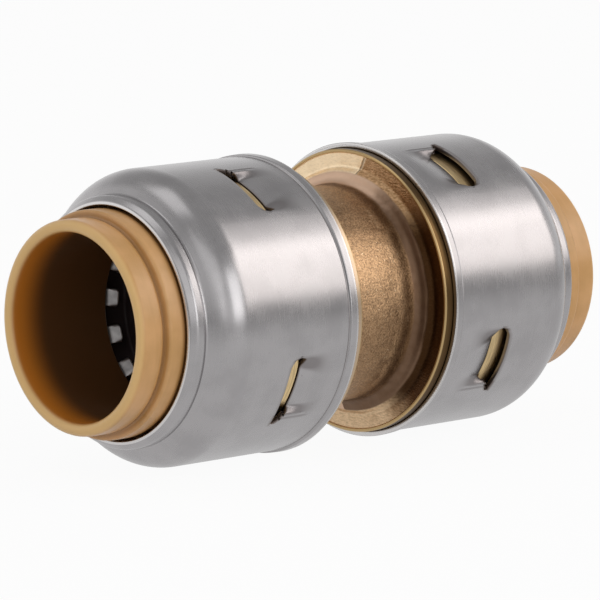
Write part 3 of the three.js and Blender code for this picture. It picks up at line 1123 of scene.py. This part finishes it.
@dataclass
class ReleaseCollar:
    """The moulded collar: nose, sleeve, flange inside the cap, guide ring, and lip that is pushed."""

    fit: Fit
    side: Side
    columns: int = 320
    sleeve_wall: float = 1.0 * MM
    guide_wall: float = 1.71 * MM
    lip_wall: float = 1.1 * MM
    lip_length: float = 2.6 * MM
    lip_rounding: float = 0.54 * MM
    groove_depth: float = 0.17 * MM
    groove_width: float = 0.30 * MM
    relief_start: float = 22.62 * MM
    relief_depth: float = 0.12 * MM
    flange_front: float = 20.6 * MM
    flange_back: float = 19.82 * MM

    def build(self, finishes: Finishes) -> None:
        """Carries the collar's rounded section round the axis and dresses it."""
        fit, fine = self.fit, 0.12 * MM
        lip_start = fit.collar_face - self.lip_length
        sleeve = fit.bore_radius + self.sleeve_wall
        guide = fit.bore_radius + self.guide_wall
        lip = fit.bore_radius + self.lip_wall
        corners = [
            (fit.collar_nose, fit.bore_radius, fine),
            (fit.collar_face, fit.bore_radius, self.lip_rounding),
            (fit.collar_face, lip, self.lip_rounding),
            (lip_start + self.groove_width, lip, 0.40 * MM),
            (lip_start + 0.3 * self.groove_width, lip - self.groove_depth, 0.08 * MM),
            (lip_start, lip + 0.1 * MM, 0.05 * MM),
            (lip_start, guide, 0.32 * MM),
            (self.relief_start, guide, 0.10 * MM),
            (self.relief_start - 0.2 * MM, guide - self.relief_depth, 0.10 * MM),
            (self.flange_front, guide - self.relief_depth, 0.12 * MM),
            (self.flange_front, fit.collar_flange_radius, 0.2 * MM),
            (self.flange_back, fit.collar_flange_radius, 0.2 * MM),
            (self.flange_back, sleeve, 0.3 * MM),
            (fit.collar_nose + fit.grab_slope * self.sleeve_wall, sleeve, fine),
        ]
        outline = dense(rounded(corners, 7), 0.4 * MM)
        name = f"{self.side.word}_push_collar"
        made = turned_piece(name, outline, self.columns, self.side, self.masks(outline))
        dress(made, finishes.tan, Slot.TAN, f"{self.side.word}_release_collar")
        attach(made, f"{self.side.word}_collar")

    def masks(self, outline: np.ndarray) -> Masks:
        """Where the collar's colour changes.

        Args:
            outline: stations and radii of the collar's section.

        Returns:
            For each point of the outline: bore, from 0 outside to 1 in the bore; depth, how far in from
            the face, for the bore's painted light and shade; the end face, for a painted highlight; and
            corner, the groove at the lip and the undercut, for painted shade.
        """
        fit = self.fit
        face, bore = fit.collar_face, fit.bore_radius
        lip, lip_start = bore + self.lip_wall, face - self.lip_length
        station, radius = outline.T
        inside = smoothstep(radius, bore + 0.20 * MM, bore + 0.02 * MM)
        inside *= smoothstep(station, face - 0.15 * MM, face - 0.7 * MM)
        outer = smoothstep(radius, bore + 0.5 * MM, bore + 0.8 * MM)
        root = lip_start + 0.3 * self.groove_width
        # painted shade in the groove at the lip
        groove = np.exp(-(((station - root) / (0.13 * MM)) ** 2)) * outer
        groove *= smoothstep(radius, lip + 0.45 * MM, lip + 0.1 * MM)
        # painted shade in the undercut by the cap's mouth
        under = smoothstep(station, self.relief_start + 0.22 * MM, self.relief_start) * outer
        return {
            "bore": inside,
            "depth": smoothstep(station, face - 0.7 * MM, face - 4.0 * MM),
            "lip_face_light": smoothstep(station, face - 0.45 * MM, face - 0.1 * MM),
            "corner": np.maximum(0.6 * groove, 0.9 * under),
        }


@dataclass(frozen=True)
class Tab:
    """A tab: a slot cut across the sheet, and the sheet behind it pressed in towards the body.

    A place beside the tab is given by its reach, in degrees from the end where the metal tore. Beside
    the torn end the slot is narrow; beside the tab itself it opens to its full width; and at the far
    end it closes in a half round that hooks back.
    """

    middle: float
    torn_end: int
    span: float = 30.5
    slot_rear: float = 11.4 * MM
    slot_front: float = 12.9 * MM
    bow: float = 0.12 * MM
    torn_width: float = 0.95 * MM
    torn_reach: float = 5.0
    open_reach: float = 6.6
    hook: float = 0.42 * MM
    hook_reach: float = 4.0
    end_rounding: float = 1.2
    least: float = 0.03 * MM
    settle: float = 4.0
    root: float = 7.9 * MM
    depth: float = 0.70 * MM
    ramp_far: float = 5.0
    ridge_reaches: tuple[float, float] = (2.9, 4.9)
    ridge_ends: tuple[float, float] = (8.5 * MM, 9.3 * MM)
    ridge_height: float = 0.055 * MM
    ridge_width: float = 0.36

    def reach(self, angle: np.ndarray) -> np.ndarray:
        """Degrees from the torn end of the slot, for angles in degrees."""
        away = (angle - self.middle + 180) % 360 - 180
        return self.span / 2 + self.torn_end * away

    def edges(self, reach: np.ndarray) -> tuple[np.ndarray, np.ndarray]:
        """Stations of the slot's rear and front edges.

        Args:
            reach: reach of each column.

        Returns:
            The two stations; past the slot's ends they part again towards their places on plain sheet.
        """
        inside = np.clip(reach, 0, self.span)
        front = self.slot_front + self.bow * np.sin(math.pi * inside / self.span)
        front -= self.hook * smoothstep(inside, self.span - self.hook_reach, self.span)
        torn = self.torn_width * np.sqrt(np.clip(inside / self.torn_reach, 0, 1))
        opened = smoothstep(inside, self.torn_reach, self.open_reach)
        rear = (front - torn) * (1 - opened) + self.slot_rear * opened
        middle, half = (front + rear) / 2, (front - rear) / 2
        close = np.clip((self.span - inside) / self.end_rounding, 0, 1)
        half = np.maximum(half * np.sqrt(1 - (1 - close) ** 2), self.least)
        outside = smoothstep(np.maximum(-reach, reach - self.span), 0, self.settle)
        return (
            (middle - half) * (1 - outside) + self.slot_rear * outside,
            (middle + half) * (1 - outside) + self.slot_front * outside,
        )

    def sink(self, reach: np.ndarray, station: np.ndarray) -> np.ndarray:
        """How far the sheet behind the slot is pressed in.

        The tab falls by the power 1.5 of the way from its root to the slot, its sides are smooth steps
        that widen towards the root, and two ridges stand beside the torn end.

        Args:
            reach: reach of each column.
            station: station of each point, rows by columns.

        Returns:
            The depth at each point, rows by columns.
        """
        along = np.clip((station - self.root) / (self.slot_rear - self.root), 0, 1)
        spread = self.ramp_far * (1 - along)
        torn_side = smoothstep(reach - self.torn_reach - 0.4, -0.6 * spread, 1.3 + spread)
        plain_side = smoothstep(self.span - reach, -0.1 - 0.3 * spread, 5.6 + spread)
        fall = self.depth * along**1.5 * torn_side * plain_side
        rise = np.zeros_like(station)
        for middle, end in zip(self.ridge_reaches, self.ridge_ends):
            bump = np.exp(-(((reach - middle) / self.ridge_width) ** 2))
            rise += self.ridge_height * bump * smoothstep(station, end, end + 1.2 * MM)
        return fall - rise


@dataclass
class RetainingCap:
    """The drawn stainless cap: flared rim, plain wall, shoulder, rolled nose, and four pressed tabs."""

    fit: Fit
    side: Side
    sheet: float = 0.45 * MM
    flare: float = 0.20 * MM
    flare_length: float = 0.80 * MM
    flare_slack: float = 0.03 * MM
    rim_setback: float = 0.02 * MM
    crease: float = 6.75 * MM
    crease_depth: float = 0.04 * MM
    crease_width: float = 0.07 * MM
    shoulder_radius: float = 3.3 * MM
    shoulder_angle: float = 56.0
    valley_station: float = 21.12 * MM
    valley_radius: float = 10.84 * MM
    rise_station: float = 21.42 * MM
    rise_radius: float = 10.93 * MM
    brow_station: float = 22.13 * MM
    brow_radius: float = 10.88 * MM
    chin_station: float = 22.58 * MM
    chin_radius: float = 10.46 * MM
    mouth_station: float = 22.71 * MM
    mouth_radius: float = 10.1475 * MM
    edge: float = 0.07 * MM
    tab_count: int = 4
    tab_phase: float = 27.0
    # strength of the painted shade lines along a slot's rear and front edges
    rear_shade_line: float = 0.85
    front_shade_line: float = 0.45

    def tabs(self) -> list[Tab]:
        """The four tabs; their torn ends face each other in pairs."""
        pitch = 360 / self.tab_count
        return [Tab(self.tab_phase + k * pitch, 1 if k % 2 == 0 else -1) for k in range(self.tab_count)]

    def meridian(self) -> np.ndarray:
        """The outside of the sheet from rim to mouth, as an open path of stations and radii."""
        fit = self.fit
        outer = fit.wall_radius
        rim = fit.rim_station + self.rim_setback
        shoulder_start = fit.grab_front(fit.land_radius) - fit.running_gap
        angles = np.linspace(0, self.shoulder_angle * DEGREE, 16)
        shoulder = np.stack([
            shoulder_start + self.shoulder_radius * np.sin(angles),
            outer - self.shoulder_radius * (1 - np.cos(angles)),
        ], 1)
        nose = [
            (*shoulder[-1], 0.0),
            (self.valley_station, self.valley_radius, 0.45 * MM),
            (self.rise_station, self.rise_radius, 0.6 * MM),
            (self.brow_station, self.brow_radius, 0.5 * MM),
            (self.chin_station, self.chin_radius, 0.4 * MM),
            (self.mouth_station, self.mouth_radius, 0.0),
        ]
        start = [
            (rim, outer + self.flare, 0.0),
            (rim + self.flare_length, outer + self.flare - self.flare_slack, 0.10 * MM),
            (self.crease - self.crease_width, outer + 0.01 * MM, 0.03 * MM),
            (self.crease, outer - self.crease_depth, 0.03 * MM),
            (self.crease + self.crease_width, outer, 0.03 * MM),
            (shoulder_start, outer, 0.0),
        ]
        outside = np.vstack([rounded(start, 4, False), shoulder[1:], rounded(nose, 6, False)[1:]])
        return dense(outside, 0.30 * MM, False, 0.04 * MM)

    def columns(self) -> np.ndarray:
        """Angles of the columns in degrees, close together where a tab's sides are steep."""
        pieces: list[np.ndarray] = []
        for tab in self.tabs():
            low, high = tab.middle - tab.span / 2, tab.middle + tab.span / 2
            near, far = (36, 18) if tab.torn_end > 0 else (18, 36)
            starts = [(low - 4, 5), (low, near), (low + 11, 8), (high - 11, far), (high, 5)]
            ends = [low, low + 11, high - 11, high, high + 4]
            pieces += [np.linspace(a, b, n, endpoint=False) for (a, n), b in zip(starts, ends)]
            pieces.append(np.linspace(high + 4, low - 4 + 360 / self.tab_count, 22, endpoint=False))
        return np.concatenate(pieces)

    def build(self, finishes: Finishes) -> None:
        """Makes the outside of the sheet, presses the tabs, cuts their slots, and gives it thickness.

        The surface is the meridian turned round the axis. Along the plain wall its rows slide towards
        the edges of each slot, and behind a slot the radius falls as the tab sinks.
        """
        path, tabs, angle = self.meridian(), self.tabs(), self.columns()
        rear = int(np.argmin(np.abs(path[:, 0] - tabs[0].slot_rear)))
        front = int(np.argmin(np.abs(path[:, 0] - tabs[0].slot_front)))
        path[[rear, front], 0] = tabs[0].slot_rear, tabs[0].slot_front
        station = np.repeat(path[:, :1], len(angle), 1)
        radius = np.repeat(path[:, 1:], len(angle), 1)
        press, shade_line = np.zeros_like(station), np.zeros_like(station)
        hole = np.zeros((len(path) - 1, len(angle)), bool)
        behind = (np.arange(len(path)) <= rear)[:, None]
        tones = np.array([[self.rear_shade_line], [self.front_shade_line]])
        for tab in tabs:
            reach = tab.reach(angle)
            near = (reach > -tab.settle) & (reach < tab.span + tab.settle)
            self.slide(tab, path[:, 0], reach, near, station)
            sink = np.where(behind, tab.sink(reach, station), 0)
            radius -= sink
            # press: the steep sides of a tab, where the material paints shade and roughens the sheet
            press += np.clip(np.abs(np.gradient(sink, axis=1)) / (0.03 * MM), 0, 1)
            inside = (reach > -1e-6) & (reach < tab.span + 1e-6)
            cell = inside & np.roll(inside, -1)
            hole[rear:front] |= cell[None]
            # painted shade lines, strongest at the torn and closed ends of a slot, and along its rear and
            # front edges
            torn = smoothstep(reach, tab.open_reach + 0.6, tab.torn_reach - 0.4) * (reach > -0.3)
            closed = smoothstep(reach, tab.span - 2.4, tab.span - 0.8) * (reach < tab.span + 0.3)
            cut = np.maximum(0.9 * np.maximum(torn, closed), tones * inside)
            shade_line[[rear, front]] = np.maximum(shade_line[[rear, front]], cut)
        points = turned_grid(station, radius, angle[None] * DEGREE, self.side)
        faces = grid_faces(len(path), len(angle), False, ~hole)
        # edge: the first and last two rows, the rim and the mouth, which get a painted highlight
        rim = np.zeros_like(station)
        rim[:2], rim[-2:] = 1, 1
        # a fainter painted shade line along the crease
        line = 0.5 * np.exp(-(((path[:, :1] - self.crease) / (0.6 * self.crease_width)) ** 2))
        masks = {"press": np.clip(press, 0, 1), "edge": rim, "shade_line": np.maximum(shade_line, line)}
        made = new_object(f"{self.side.word}_drawn_cap", points, faces, False, masks)
        thicken(made, self.sheet, self.edge, -1)
        shade(made, 50)
        dress(made, finishes.stainless, Slot.STAINLESS, f"{self.side.word}_retaining_cap")
        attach(made, f"{self.side.word}_cap")

    def slide(
        self, tab: Tab, rows: np.ndarray, reach: np.ndarray, near: np.ndarray, station: np.ndarray
    ) -> None:
        """Slides the rows beside one slot so that two of them lie on its edges.

        Between four knots, two on the plain sheet and two on the edges, a row keeps its share of the
        way.

        Args:
            tab: the tab.
            rows: station of each row before it slides.
            reach: reach of each column.
            near: columns beside the slot.
            station: stations to change, rows by columns.
        """
        rear, front = tab.slot_rear, tab.slot_front
        knots = np.array([2 * rear - front, rear, front, 2 * front - rear])
        edges = tab.edges(reach)
        stops = [np.full_like(reach, knots[0]), *edges, np.full_like(reach, knots[3])]
        for k in range(3):
            row = (rows >= knots[k] - 1e-9) & (rows <= knots[k + 1] + 1e-9)
            share = ((rows[row] - knots[k]) / (knots[k + 1] - knots[k]))[:, None]
            station[np.ix_(row, near)] = (stops[k] + share * (stops[k + 1] - stops[k]))[:, near]


# ---------------------------------------------------------------- studio


@dataclass(frozen=True)
class Lamp:
    """A soft light: where it stands from the coupling, its size and how bright its face is."""

    name: str
    direction: Triple
    distance: float
    size: float
    radiance: float
    colour: Triple = (1.0, 1.0, 1.0)

    def build(self) -> None:
        """Makes the light, facing the coupling; its power is pi times its radiance and its area."""
        data = bpy.data.lights.new(self.name, "AREA")
        data.shape = "SQUARE"
        data.size = self.size
        data.energy = math.pi * self.radiance * self.size**2
        data.color = self.colour
        lamp = bpy.data.objects.new(self.name, data)
        bpy.context.scene.collection.objects.link(lamp)
        direction = Vector(self.direction).normalized()
        lamp.location = direction * self.distance
        lamp.rotation_euler = (-direction).to_track_quat("-Z", "Y").to_euler()


@dataclass(frozen=True)
class Tone:
    """How grey the surroundings are on one side, in what the metal mirrors.

    The tone sets in between two distances on the floor, and between two cosines from its direction in
    the sky.
    """

    direction: Triple
    level: float
    floor_range: tuple[float, float]
    sky_range: tuple[float, float]


@dataclass
class Studio:
    """The camera, the lights, the pale floor and the world.

    What the metal mirrors falls off to grey on the left and on the key light's side, and stays white
    behind the coupling's left end.
    """

    floor_level: float
    azimuth: float = 42.29
    elevation: float = 8.744
    distance: float = 443.6 * MM
    right_of_centre: float = 0.54 * MM
    above_centre: float = 0.32 * MM
    lens: float = 302.9
    sensor: float = 36.0
    floor_half: float = 6.0
    floor_share: float = 0.94
    world_light: float = 0.50
    background: float = 1.0
    zenith: float = 0.46
    table_level: float = 0.80
    tones: tuple[Tone, ...] = (
        Tone((-0.65, 0.76, 0.0), 1.0, (0.02, 0.12), (0.7, 0.95)),
        Tone((-0.97, -0.25, 0.0), 0.30, (0.05, 0.25), (0.80, 0.97)),
        Tone((0.665, -0.746, 0.0), 0.42, (0.03, 0.30), (0.80, 0.99)),
    )

    def camera(self) -> None:
        """Stands the camera in front of the left end, a little above the axis."""
        turn, tilt = self.azimuth * DEGREE, self.elevation * DEGREE
        ahead, level = Vector((math.sin(turn), math.cos(turn), 0)), math.cos(tilt)
        forward = ahead * level - Vector((0, 0, math.sin(tilt)))
        right = Vector((math.cos(turn), -math.sin(turn), 0))
        up = right.cross(forward)
        data = bpy.data.cameras.new("camera")
        data.sensor_width = self.sensor
        data.lens = self.lens
        data.clip_start = 0.02
        data.clip_end = 50
        camera = bpy.data.objects.new("camera", data)
        bpy.context.scene.collection.objects.link(camera)
        place = -(right * self.right_of_centre + up * self.above_centre + forward * self.distance)
        axes = Matrix((right, up, -forward)).transposed().to_4x4()
        camera.matrix_world = Matrix.Translation(place) @ axes
        bpy.context.scene.camera = camera

    def lamps(self) -> list[Lamp]:
        """The soft lights: a warm key with a dimmer edge over it, two in front, and one overhead."""
        return [
            Lamp("key_light", (0.665, -0.62, 0.42), 0.60, 0.34, 1.75, (1.0, 0.94, 0.90)),
            Lamp("key_edge", (0.665, -0.36, 0.655), 0.62, 0.22, 1.0, (1.0, 0.95, 0.92)),
            Lamp("side_light", (0.05, -0.93, 0.33), 0.70, 0.42, 1.4),
            Lamp("front_light", (-0.78, -0.50, 0.42), 0.70, 0.55, 0.5),
            Lamp("top_light", (-0.35, 0.25, 0.9), 0.75, 0.40, 0.8),
        ]

    def toned(
        self, graph: Graph, level: Value | float, direction: bpy.types.NodeSocket, on_floor: bool
    ) -> Value:
        """Lays the tones over a level of brightness, one after another.

        Args:
            graph: node tree of the floor or the world.
            level: brightness without the tones.
            direction: place on the floor in metres, or direction in the sky.
            on_floor: whether it is the floor.

        Returns:
            The brightness with the tones.
        """
        for tone in self.tones:
            vectors = {0: direction, 1: tone.direction}
            reach = graph.add("VectorMath", {"operation": "DOT_PRODUCT"}, vectors)
            low, high = tone.floor_range if on_floor else tone.sky_range
            share = graph.ramp(Value(graph, reach.outputs["Value"]), low, high)
            level = level - (level - tone.level) * share
        return level

    def floor(self) -> None:
        """A pale floor that keeps the shadow, looks almost white, and is clear from below."""
        half, level = self.floor_half, self.floor_level
        corners = [(-half, -half), (half, -half), (half, half), (-half, half)]
        points = np.array([(x, y, level) for x, y in corners])
        made = new_object("floor", points, np.array([[0, 1, 2, 3]]))
        if made.data.polygons[0].normal.z < 0:
            made.data.flip_normals()
        material = bpy.data.materials.new("pale_floor")
        material.use_nodes = True
        graph = Graph(material.node_tree)
        camera, mirrored = graph.ray("Camera"), graph.ray("Glossy", "Transmission")
        place = graph.add("TexCoord").outputs["Object"]
        table = self.toned(graph, self.table_level, place, True)
        level = camera * self.background + mirrored * table
        share = graph.ray("Camera", "Glossy", "Transmission") * self.floor_share
        paper = graph.add("BsdfDiffuse", {}, {"Color": (0.86, 0.86, 0.86, 1.0)})
        white = graph.add("Emission", {}, {"Strength": level})
        lit = graph.add("MixShader", {}, {0: share, 1: paper.outputs[0], 2: white.outputs[0]})
        clear = graph.add("BsdfTransparent")
        below = graph.add("NewGeometry").outputs["Backfacing"]
        surface = graph.add("MixShader", {}, {0: below, 1: lit.outputs[0], 2: clear.outputs[0]})
        graph.feed(graph.add("OutputMaterial").inputs["Surface"], surface.outputs[0])
        made.data.materials.append(material)
        made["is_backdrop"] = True

    def world(self) -> None:
        """A plain world: white where it is seen, and toned and greyer overhead in what metal mirrors."""
        world = bpy.data.worlds.new("studio_world")
        bpy.context.scene.world = world
        world.use_nodes = True
        graph = Graph(world.node_tree)
        camera, mirrored = graph.ray("Camera"), graph.ray("Glossy", "Transmission")
        direction = graph.add("TexCoord").outputs["Generated"]
        height = Value(graph, graph.add("SeparateXYZ", {}, {0: direction}).outputs[2])
        sky = graph.ramp(height, 0.10, 0.72, self.background, self.zenith)
        sky = self.toned(graph, sky, direction, False)
        other = 1 - graph.ray("Camera", "Glossy", "Transmission")
        strength = camera * self.background + mirrored * sky + other * self.world_light
        light = graph.add("Background", {}, {"Color": (1.0, 1.0, 1.0, 1.0), "Strength": strength})
        graph.feed(graph.add("OutputWorld").inputs["Surface"], light.outputs[0])

    def build(self) -> None:
        """Sets up everything that isn't the coupling."""
        self.camera()
        self.floor()
        self.world()
        for lamp in self.lamps():
            lamp.build()
        bpy.context.scene.view_settings.view_transform = "Standard"


def main() -> None:
    """Builds the coupling from the middle outwards, then the studio."""
    logging.basicConfig(level=logging.INFO, format="%(name)s %(message)s")
    cad_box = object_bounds()
    fit = Fit.from_frame()
    finishes = Finishes.make()
    BrassBody(fit).build(finishes)
    for side in Side:
        Socket(fit, side).build(finishes)
        GrabRing(fit, side).build(finishes)
        ReleaseCollar(fit, side).build(finishes)
        RetainingCap(fit, side).build(finishes)
    Studio(floor_level=cad_box[0].z).build()


if __name__ == "__main__":
    main()
